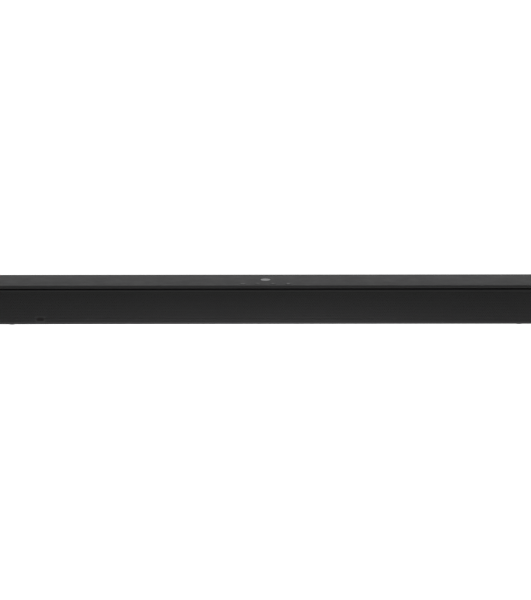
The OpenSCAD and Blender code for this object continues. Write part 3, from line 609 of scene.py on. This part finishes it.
    hole_out, hole_in, rim_out, rim_in = [], [], [], []
    for i, j in rim:
        x, s = x0 + j * PITCH / 2, lines[i]
        ox, os_ = oval(x - lens_x, s - lens_s)
        hole_out.append(vert(lens_x + ox, crown(lens_s + os_)))
        hole_in.append(vert(lens_x + ox, crown(lens_s + os_, SHEET)))
        rim_out.append(fine[i][j])
        rim_in.append(inner[turn + i][coarse.index(j) + 1])
    n = len(rim)
    for k in range(n):
        m = (k + 1) % n
        face([rim_out[k], rim_out[m], hole_out[m], hole_out[k]])
        face([rim_in[m], rim_in[k], hole_in[k], hole_in[m]])
        face([hole_out[k], hole_out[m], hole_in[m], hole_in[k]])
    obj = piece("perforated_grille", points, faces, LOOK["grille"], "grille",
                looks=(LOOK["scrim"],), which=kinds)
    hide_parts("front_grille", "grille_scrim")

    pegs = Solid()
    start = front + 1.3 * MM
    length = PEG_BACK - start
    profile = [(PEG_R, 0), (PEG_R, length - 0.5 * MM), (1.2 * MM, length - 0.1 * MM), (MM, length)]
    for x in PEG_XS:
        for z in (z0 + 9 * MM, z1 - 11 * MM):
            pegs.turned((x, start, z), profile, axis="y", segments=24)
    solid_piece("grille_pegs", pegs, LOOK["grille"], "grille")


grille()

# ---------------------------------------------------------------- end caps


CAP_ROUND, CAP_RIM, CAP_WALL = 3 * MM, 0.35 * MM, 3 * MM


def cap_section(x, inset, body_low, body_high, shoulder=4 * MM, toe=3.5 * MM):
    """The body's rounded outline at x, moved in by inset."""
    loop = []
    for y_side, z_side, start in ((1, 1, 0), (-1, 1, 90), (-1, -1, 180), (1, -1, 270)):
        r = shoulder if z_side > 0 else toe
        y = (body_high[0] - r) if y_side > 0 else (body_low[0] + r)
        z = (body_high[1] - r) if z_side > 0 else (body_low[1] + r)
        for k in range(11):
            a = math.radians(start + 90 * k / 10)
            loop.append((x, y + (r - inset) * math.cos(a), z + (r - inset) * math.sin(a)))
    return loop


def end_cap(name, side):
    """Hollow cap with a broken edge at its seam and a rounded outer end."""
    low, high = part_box(name)
    lo, hi = (low.y, low.z), (high.y, high.z)
    seam = (low.x if side > 0 else high.x)
    flat = high.x - low.x - CAP_ROUND
    inner_lo, inner_hi = (lo[0] + CAP_WALL, lo[1] + CAP_WALL), (hi[0] - CAP_WALL, hi[1] - CAP_WALL)
    loops = [cap_section(x, 0, inner_lo, inner_hi, MM, MM) for x in (seam + side * flat, seam)]
    for a in quarter(4):
        x = seam + side * CAP_RIM * (1 - math.cos(a))
        loops.append(cap_section(x, CAP_RIM * (1 - math.sin(a)), lo, hi))
    for a in quarter(10):
        x = seam + side * (flat + CAP_ROUND * math.sin(a))
        loops.append(cap_section(x, CAP_ROUND * (1 - math.cos(a)), lo, hi))
    shell = Solid()
    shell.loft(loops)
    cap = solid_piece(name + "_shell", shell, LOOK["end_cap"], "end_cap", sharp=35)
    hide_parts(name)


end_cap("left_end_cap", -1)
end_cap("right_end_cap", 1)

# ---------------------------------------------------------------- woofer suspensions

SECTORS = 12
ROLL_MID = (19.3, 2.0)                   # middle of the surround's half-roll, in millimetres


def roll(r, start, stop, steps=16):
    """Half-roll of the surround, as (radius, height forward of the baffle) in millimetres."""
    angles = [math.radians(start + (stop - start) * k / steps) for k in range(steps + 1)]
    return [(ROLL_MID[0] + r * math.cos(a), ROLL_MID[1] + r * math.sin(a)) for a in angles]


def suspension(woofer):
    """Surround and spider in sectors between the basket and the cone."""
    node = woofer + "_suspension"
    low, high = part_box(node)
    cx, cz, baffle = (low.x + high.x) / 2, (low.z + high.z) / 2, low.y + 4 * MM
    surround = [(16.4, 1.45), (17.6, 1.45)] + roll(1.6, 180, 0) + [(22, 2.0), (22, 2.4)] + roll(2.0, 0, 180)
    surround.append((16.4, 1.85))
    web = [(8.5 + 5.2 * i / 48, -14.2 + 0.6 * math.sin(6 * math.pi * i / 48)) for i in range(49)]
    spider = web + [(14.8, -14.2), (14.8, -15.5), (13.7, -15.5)] + [(r, h - 0.4) for r, h in reversed(web)]
    for k in range(SECTORS):
        angles = [2 * math.pi * (k + i / 5) / SECTORS for i in range(6)]
        part = Solid()
        for section in (surround, spider):
            part.loft([[(cx + r * MM * math.cos(a), baffle - h * MM, cz + r * MM * math.sin(a))
                        for r, h in section] for a in angles])
        obj = solid_piece(f"{node}_{k:02d}", part, LOOK["suspension"], "suspension", body=None, sharp=40)
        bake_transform(obj)
        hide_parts(node)


for woofer in ("left_outer_woofer", "left_inner_woofer", "right_inner_woofer", "right_outer_woofer"):
    suspension(woofer)

# ---------------------------------------------------------------- badge and buttons


KEY_R = 5.5 * MM
KEY_FLANGE_TOP, KEY_FLANGE_T = 62.4 * MM, 1.2 * MM
DISH = 0.12 * MM
SOFTENED = 0.35 * MM                     # rounding of the badge's and the keys' outer corners


def fillet(r, h):
    """Rounded outer corner of a lathe profile, from its side up to its top at height h."""
    return [(r - SOFTENED + SOFTENED * math.cos(a), h - SOFTENED + SOFTENED * math.sin(a))
            for a in quarter(6)]


def badge():
    low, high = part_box("badge")
    centre = (low + high) / 2
    r, top = (high.x - low.x) / 2, high.z - low.z
    face = [(r - 0.8 * MM, top), (r - 1.0 * MM, top - 0.12 * MM), (r * 0.4, top - 0.15 * MM),
            (0.2 * MM, top - 0.16 * MM)]
    profile = [(r, 0)] + fillet(r, top) + face
    disc = Solid()
    disc.turned((centre.x, centre.y, low.z), profile, segments=128)
    obj = solid_piece("badge_disc", disc, LOOK["badge"], "badge", sharp=40)
    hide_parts("badge")


badge()
PRINT = print_look()
STROKE = 0.6 * MM


def bar(cx, cy, length, width, turn=0.0, steps=6):
    """Outline of a stroke with round ends."""
    r = width / 2
    out = []
    for end in (1, -1):
        for k in range(steps + 1):
            a = math.radians(-90 + 180 * k / steps) + (0 if end > 0 else math.pi)
            out.append((end * (length / 2 - r) + r * math.cos(a), r * math.sin(a)))
    c, s = math.cos(turn), math.sin(turn)
    return [(cx + x * c - y * s, cy + x * s + y * c) for x, y in out]


def arc_stroke(cx, cy, r, width, start, stop, steps=28):
    """Outline of a stroke along an arc, between two angles in degrees."""
    angles = [math.radians(start + (stop - start) * k / steps) for k in range(steps + 1)]
    outer, inner = ([(cx + q * math.cos(a), cy + q * math.sin(a)) for a in angles]
                    for q in (r + width / 2, r - width / 2))
    return outer + inner[::-1]


def plus(cx, cy, size, width):
    a, b = size / 2, width / 2
    corners = ((a, -b), (a, b), (b, b), (b, a), (-b, a), (-b, b), (-a, b), (-a, -b), (-b, -b), (-b, -a),
               (b, -a), (b, -b))
    return [(cx + x, cy + y) for x, y in corners]


def icons(kind, x, y):
    """Outlines of a button's symbol."""
    if kind == "power_button":
        return [arc_stroke(x, y - 0.2 * MM, 2.1 * MM, STROKE, 125, 415),
                bar(x, y + 1.5 * MM, 2.2 * MM, STROKE, math.pi / 2)]
    if kind == "volume_down_button":
        return [bar(x, y, 3.4 * MM, STROKE)]
    if kind == "volume_up_button":
        return [plus(x, y, 3.2 * MM, STROKE)]
    # a frame open to the left with an arrow going in
    frame_line = [(-0.6, 1.9), (2.1, 1.9), (2.1, -1.9), (-0.6, -1.9), (-0.6, -1.35), (1.55, -1.35),
                  (1.55, 1.35), (-0.6, 1.35)]
    arrow = [(-2.4, 0.26), (-2.4, -0.26), (-0.3, -0.26), (-0.3, -0.9), (0.9, 0), (-0.3, 0.9), (-0.3, 0.26)]
    return [[(x + (a - 0.4) * MM, y + b * MM) for a, b in line] for line in (frame_line[::-1], arrow)]


def button(name):
    """A dished key on a flange and stem, with its printed symbol."""
    low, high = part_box(name)
    c = (low + high) / 2
    flange, height = (high.x - low.x) / 2, high.z - low.z
    flange_low, flange_high = KEY_FLANGE_TOP - KEY_FLANGE_T - low.z, KEY_FLANGE_TOP - low.z
    profile = [(2 * MM, 0), (2 * MM, flange_low), (flange, flange_low), (flange, flange_high),
               (KEY_R, flange_high)]
    profile += fillet(KEY_R, height)
    profile += [(KEY_R * (1 - k / 8), height - DISH * math.sin(math.pi / 2 * k / 8)) for k in range(1, 8)]
    profile += [(0.15 * MM, height - DISH)]
    body = Solid()
    body.turned((c.x, c.y, low.z), profile, segments=96)
    obj = solid_piece(name + "_key", body, LOOK["button"], "button", body=name, sharp=40)
    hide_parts(name)
    mark = Solid()
    for outline in icons(name, c.x, c.y):
        mark.prism(outline, high.z - DISH - 0.1 * MM, high.z - 0.035 * MM)
    solid_piece(name + "_symbol", mark, PRINT, "button", body=name)


for name in ("power_button", "volume_down_button", "volume_up_button", "source_button"):
    button(name)

# ---------------------------------------------------------------- camera, floor and light

AIM = Vector((0.0, 0.0, 0.0325))
DISTANCE = 3.0
ELEVATION = math.radians(12.95)
LENS_MM = 114.4
ROLL = math.radians(-0.065)

camera_data = bpy.data.cameras.new("camera")
camera_data.lens = LENS_MM
camera_data.sensor_width = 36.0
camera_data.sensor_fit = "AUTO"
camera_data.clip_start, camera_data.clip_end = 0.05, 200.0
camera = stand("camera", camera_data)
camera.location = AIM + DISTANCE * Vector((0.0, -math.cos(ELEVATION), math.sin(ELEVATION)))
aimed = (AIM - camera.location).to_track_quat("-Z", "Y")
camera.rotation_mode = "QUATERNION"
camera.rotation_quaternion = aimed @ Quaternion((0, 0, 1), ROLL)
bpy.context.scene.camera = camera

FLOOR_HALF = 30.0
FLOOR_GLOW, FRONT_GLOW = 1.0, 0.45
SUN_STRENGTH, REAR_WATTS = 0.95, 3.4
AMBIENT, BACKDROP = (0.345, 0.345, 0.345, 1), (1.1, 1.1, 1.1, 1)

floor_mesh = bpy.data.meshes.new("floor")
floor_mesh.from_pydata([(x * FLOOR_HALF, y * FLOOR_HALF, 0) for x, y in ((-1, -1), (1, -1), (1, 1), (-1, 1))],
                       [], [[0, 1, 2, 3]])
floor = stand("floor", floor_mesh)
floor_graph = Graph("pale_floor")


def pool(centre_y, wide, deep):
    """A soft oval pool of light on the floor: 1 in its middle, with half sizes wide and deep."""
    across = floor_graph.math("DIVIDE", floor_graph.axis("X"), wide)
    along = floor_graph.math("DIVIDE", floor_graph.math("SUBTRACT", floor_graph.axis("Y"), centre_y), deep)
    squares = [floor_graph.math("MULTIPLY", v, v) for v in (across, along)]
    return floor_graph.math("EXPONENT", floor_graph.math("MULTIPLY", floor_graph.math("ADD", *squares), -0.5))


# a lit floor, stronger in front of the bar and most of all at its foot; all of it is white to the camera
near = floor_graph.spread(pool(-0.1, 0.32, 0.1), 0, 1, FLOOR_GLOW, FLOOR_GLOW + FRONT_GLOW)
glow_map = floor_graph.math("ADD", near, pool(-0.05, 0.32, 0.018))
floor_mesh.materials.append(floor_graph.done((0.25, 0.25, 0.25), 0.9, specular=0.0,
                                             Emission_Color=(1.0, 1.0, 1.0), Emission_Strength=glow_map))

sun_data = bpy.data.lights.new("overhead_softbox", "SUN")
sun_data.energy = SUN_STRENGTH
sun_data.angle = math.radians(70)
sun = stand("overhead_softbox", sun_data)
sun.rotation_euler = (math.radians(-6), 0, 0)
sun.visible_glossy = False

rear_data = bpy.data.lights.new("rear_softbox", "AREA")
rear_data.shape = "RECTANGLE"
rear_data.size, rear_data.size_y = 1.5, 0.12
rear_data.energy = REAR_WATTS
rear = stand("rear_softbox", rear_data)
rear.location = (0, 0.17, 0.24)
rear.rotation_euler = (Vector((0, 0, 0.06)) - rear.location).to_track_quat("-Z", "Y").to_euler()
rear.visible_camera = False
rear.visible_glossy = False

world = bpy.data.worlds.new("studio")
bpy.context.scene.world = world
world.use_nodes = True
tree = world.node_tree
tree.nodes.clear()
out = tree.nodes.new("ShaderNodeOutputWorld")
glow = tree.nodes.new("ShaderNodeBackground")
seen = tree.nodes.new("ShaderNodeBackground")
both = tree.nodes.new("ShaderNodeMixShader")
ray = tree.nodes.new("ShaderNodeLightPath")
glow.inputs["Color"].default_value = AMBIENT
seen.inputs["Color"].default_value = BACKDROP
tree.links.new(ray.outputs["Is Camera Ray"], both.inputs["Fac"])
tree.links.new(glow.outputs["Background"], both.inputs[1])
tree.links.new(seen.outputs["Background"], both.inputs[2])
tree.links.new(both.outputs["Shader"], out.inputs["Surface"])

bpy.context.scene.view_settings.view_transform = "Standard"
